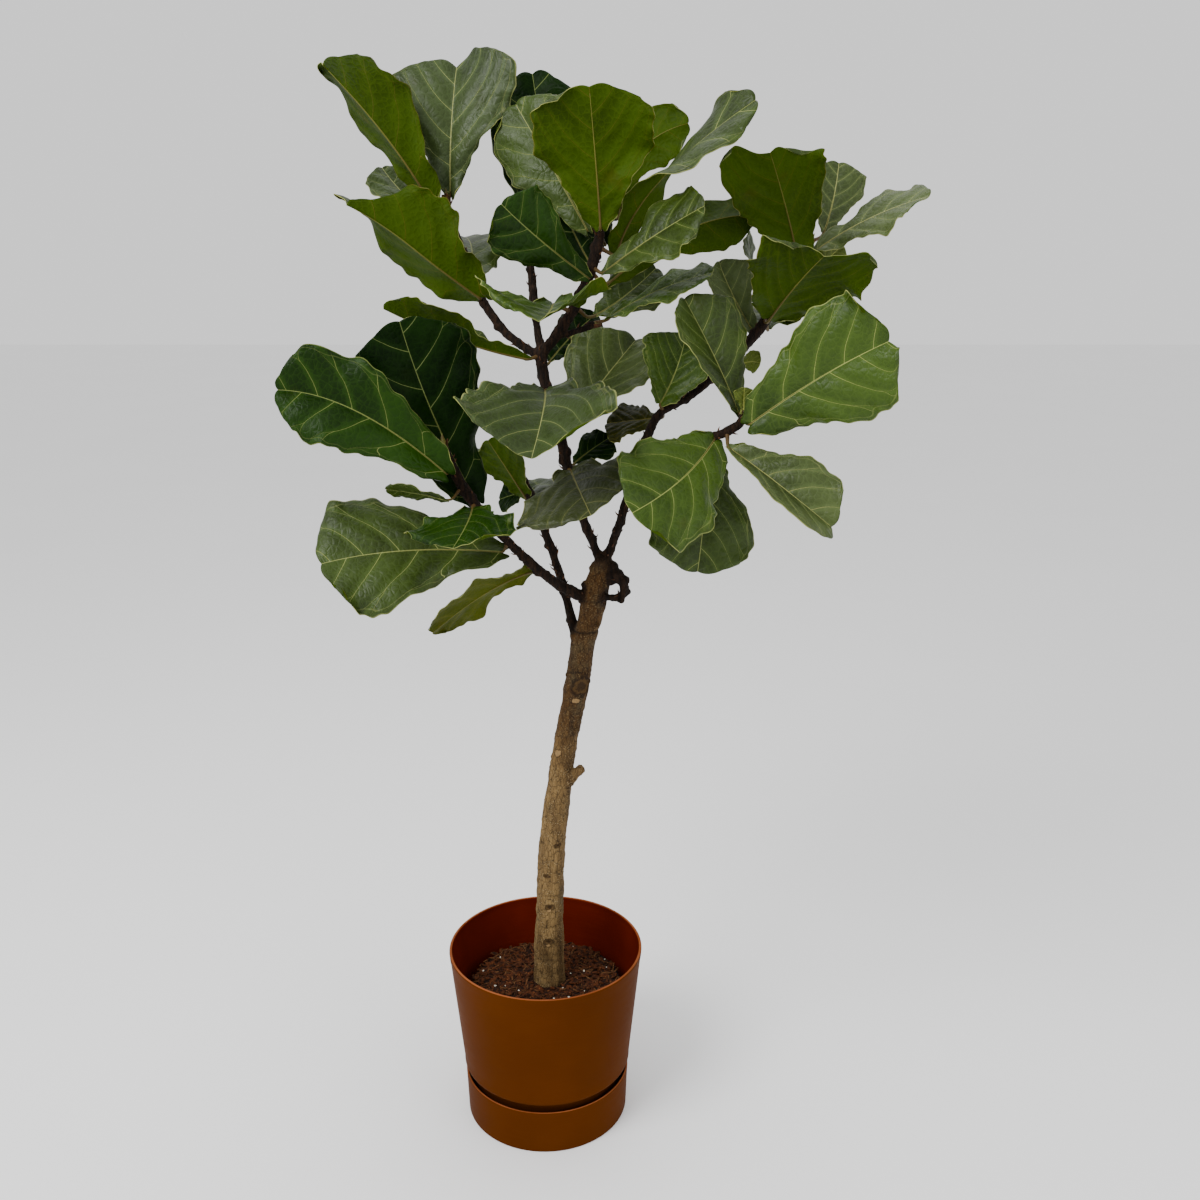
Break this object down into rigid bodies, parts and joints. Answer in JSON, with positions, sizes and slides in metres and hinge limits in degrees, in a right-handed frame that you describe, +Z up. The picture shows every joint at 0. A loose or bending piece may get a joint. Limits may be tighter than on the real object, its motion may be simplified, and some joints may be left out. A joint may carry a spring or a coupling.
{
  "type": "potted fiddle leaf fig",
  "caption": "Young branching fiddle leaf fig tree with large wavy violin-shaped leaves, standing in soil in a round tapered plastic planter with a saucer.",
  "frame": {"origin": "centre of the saucer's flat underside, where the plant stands on the floor", "axes": "+Z up along the pot's axis, -Y towards the side the plant is usually seen from, +X to the right from there"},
  "size_m": [0.8258, 0.5036, 1.5513],
  "materials": {
    "planter": "satin",
    "grower_pot": "matte",
    "soil": "matte",
    "bark": "matte",
    "leaf": "satin"
  },
  "bodies": {
    "root": {"planter": "planter", "saucer": "planter", "nursery_pot": "grower_pot", "soil": "soil", "tree": "bark", "leaf_01": "leaf", "leaf_02": "leaf", "leaf_03": "leaf", "leaf_04": "leaf", "leaf_05": "leaf", "leaf_06": "leaf", "leaf_07": "leaf", "leaf_08": "leaf", "leaf_09": "leaf", "leaf_10": "leaf", "leaf_11": "leaf", "leaf_12": "leaf", "leaf_13": "leaf", "leaf_14": "leaf", "leaf_15": "leaf", "leaf_16": "leaf", "leaf_17": "leaf", "leaf_18": "leaf", "leaf_19": "leaf", "leaf_20": "leaf", "leaf_21": "leaf", "leaf_22": "leaf", "leaf_23": "leaf", "leaf_24": "leaf", "leaf_25": "leaf", "leaf_26": "leaf", "leaf_27": "leaf", "leaf_28": "leaf", "leaf_29": "leaf", "leaf_30": "leaf", "leaf_31": "leaf", "leaf_32": "leaf", "leaf_33": "leaf", "leaf_34": "leaf", "leaf_35": "leaf", "leaf_36": "leaf", "leaf_37": "leaf", "leaf_38": "leaf", "leaf_39": "leaf", "leaf_40": "leaf", "leaf_41": "leaf", "leaf_42": "leaf", "leaf_43": "leaf", "leaf_44": "leaf", "leaf_45": "leaf", "leaf_46": "leaf", "leaf_47": "leaf", "leaf_48": "leaf", "leaf_49": "leaf", "leaf_50": "leaf", "leaf_51": "leaf", "leaf_52": "leaf", "leaf_53": "leaf", "leaf_54": "leaf"}
  },
  "joints": []
}
